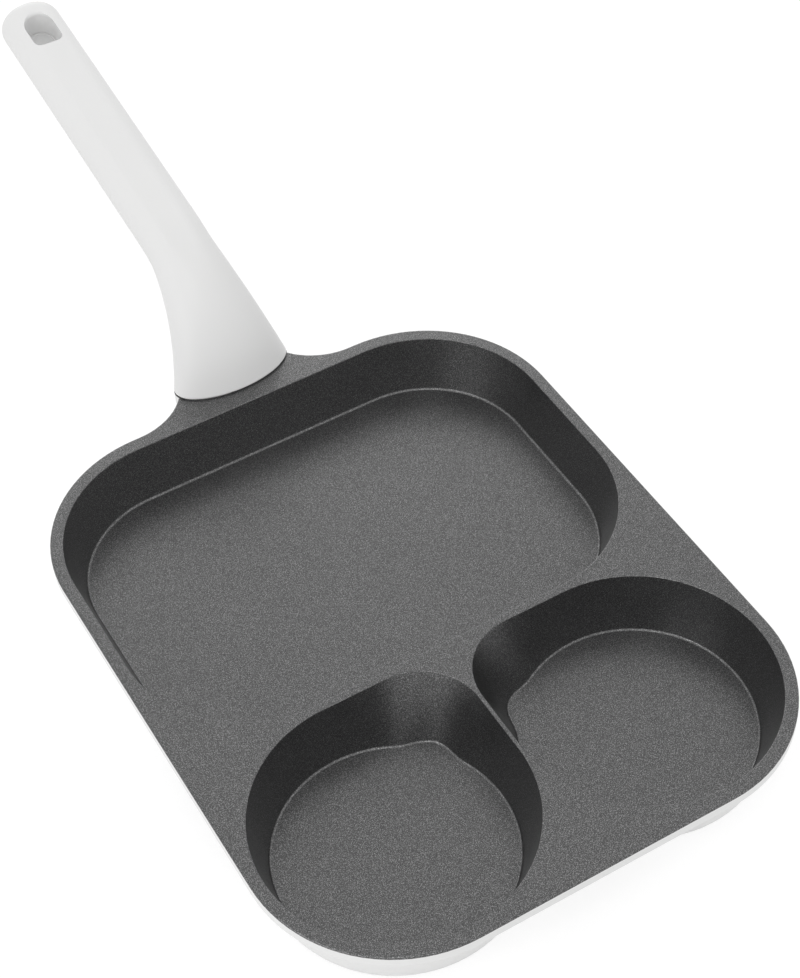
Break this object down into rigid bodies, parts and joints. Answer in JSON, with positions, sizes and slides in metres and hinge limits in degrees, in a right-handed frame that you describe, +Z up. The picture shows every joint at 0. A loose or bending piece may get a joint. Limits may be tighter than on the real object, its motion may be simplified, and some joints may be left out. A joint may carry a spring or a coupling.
{
  "type": "divided frying pan",
  "caption": "Long-handled frying pan with a large rectangular well and a pair of round egg wells, cooking several foods apart at once.",
  "frame": {"origin": "on the plane the pan stands on, at the middle of the body's width and of its length without the handle", "axes": "+X to the right seen from the cook's side opposite the handle, +Y along the pan towards the handle's end, +Z up out of the wells"},
  "size_m": [0.2004, 0.431, 0.0952],
  "materials": {
    "pan_body": "satin",
    "handle": "satin",
    "handle_screw": "satin"
  },
  "bodies": {
    "root": {"pan_body": "pan_body", "handle": "handle", "handle_screw": "handle_screw"}
  },
  "joints": []
}
